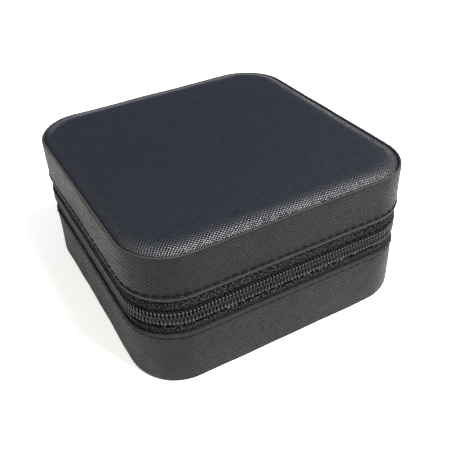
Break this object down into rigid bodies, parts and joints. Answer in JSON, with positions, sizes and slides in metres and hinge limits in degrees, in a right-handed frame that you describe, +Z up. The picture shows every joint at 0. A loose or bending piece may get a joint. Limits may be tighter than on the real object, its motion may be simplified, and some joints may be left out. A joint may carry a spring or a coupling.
{
  "type": "zip-round leather jewellery case",
  "caption": "Square padded leather jewellery case with rounded corners, a zip round three sides and a lined inside with ring rolls, dividers, necklace tabs and a gathered pocket.",
  "frame": {"origin": "middle of the underside, where the case stands on the table", "axes": "+Z up, -Y to the front where the zip opens, +Y to the hinge, +X to the right, lid closed"},
  "size_m": [0.1034, 0.1, 0.051],
  "materials": {
    "side_leather": "cross-hatched grain, semi-matt charcoal",
    "top_leather": "cross-hatched grain, semi-gloss blue-black",
    "trim_leather": "fine grain, semi-matt charcoal",
    "greyboard": "pressed board, matt",
    "foam": "open-cell foam, matt",
    "thread": "twisted polyester thread",
    "zip_tape": "woven herringbone tape",
    "zip_coil": "nylon coil, satin",
    "velvet": "short-pile velvet",
    "elastic": "ribbed elastic",
    "stud_metal": "polished",
    "zip_metal": "polished dark nickel"
  },
  "bodies": {
    "base": {"base_bottom_leather": "side_leather", "base_floor_board": "greyboard", "base_wall_board": "greyboard", "base_side_foam": "foam", "base_side_leather": "side_leather", "lower_hem_thread": "thread", "lower_zip_tape": "zip_tape", "lower_zip_coil": "zip_coil", "hinge_strip": "side_leather", "base_wall_lining": "velvet", "base_floor_lining": "velvet", "ring_rolls": "velvet", "centre_divider": "velvet"},
    "lid": {"lid_top_leather": "top_leather", "lid_top_foam": "foam", "lid_board": "greyboard", "lid_wall_board": "greyboard", "lid_side_foam": "foam", "lid_side_leather": "side_leather", "upper_hem_thread": "thread", "upper_zip_tape": "zip_tape", "upper_zip_coil": "zip_coil", "lid_wall_lining": "velvet", "lid_ceiling_lining": "velvet", "gathered_pocket": "velvet", "pocket_elastic": "elastic", "necklace_strap": "trim_leather", "stud_sockets": "stud_metal"},
    "slider": {"zip_slider": "zip_metal"},
    "pull": {"zip_pull": "zip_metal"},
    "front_divider": {"front_divider": "velvet"},
    "rear_divider": {"rear_divider": "velvet"},
    "left_tab": {"left_tab": "trim_leather", "left_stud_cap": "stud_metal"},
    "middle_tab": {"middle_tab": "trim_leather", "middle_stud_cap": "stud_metal"},
    "right_tab": {"right_tab": "trim_leather", "right_stud_cap": "stud_metal"}
  },
  "joints": [
    {"name": "lid_hinge", "type": "hinge", "parent": "base", "child": "lid", "pos_m": [0, 0.05, 0.027], "axis": [-1, 0, 0], "range_deg": [0, 150], "deforming": ["hinge_strip"]},
    {"name": "slider_run", "type": "slide", "parent": "base", "child": "slider", "axis": [0, -1, 0], "range_m": [0, 0.052]},
    {"name": "pull_swing", "type": "hinge", "parent": "slider", "child": "pull", "pos_m": [0.0522, 0.024, 0.027], "axis": [0, 0, -1], "range_deg": [0, 170]},
    {"name": "front_divider_lift", "type": "slide", "parent": "base", "child": "front_divider", "axis": [0, 0, 1], "range_m": [0, 0.018]},
    {"name": "rear_divider_lift", "type": "slide", "parent": "base", "child": "rear_divider", "axis": [0, 0, 1], "range_m": [0, 0.018]},
    {"name": "left_tab_hinge", "type": "hinge", "parent": "lid", "child": "left_tab", "pos_m": [-0.025, -0.0411, 0.0435], "axis": [-1, 0, 0], "range_deg": [0, 80]},
    {"name": "middle_tab_hinge", "type": "hinge", "parent": "lid", "child": "middle_tab", "pos_m": [0, -0.0411, 0.0435], "axis": [-1, 0, 0], "range_deg": [0, 80]},
    {"name": "right_tab_hinge", "type": "hinge", "parent": "lid", "child": "right_tab", "pos_m": [0.025, -0.0411, 0.0435], "axis": [-1, 0, 0], "range_deg": [0, 80]}
  ]
}
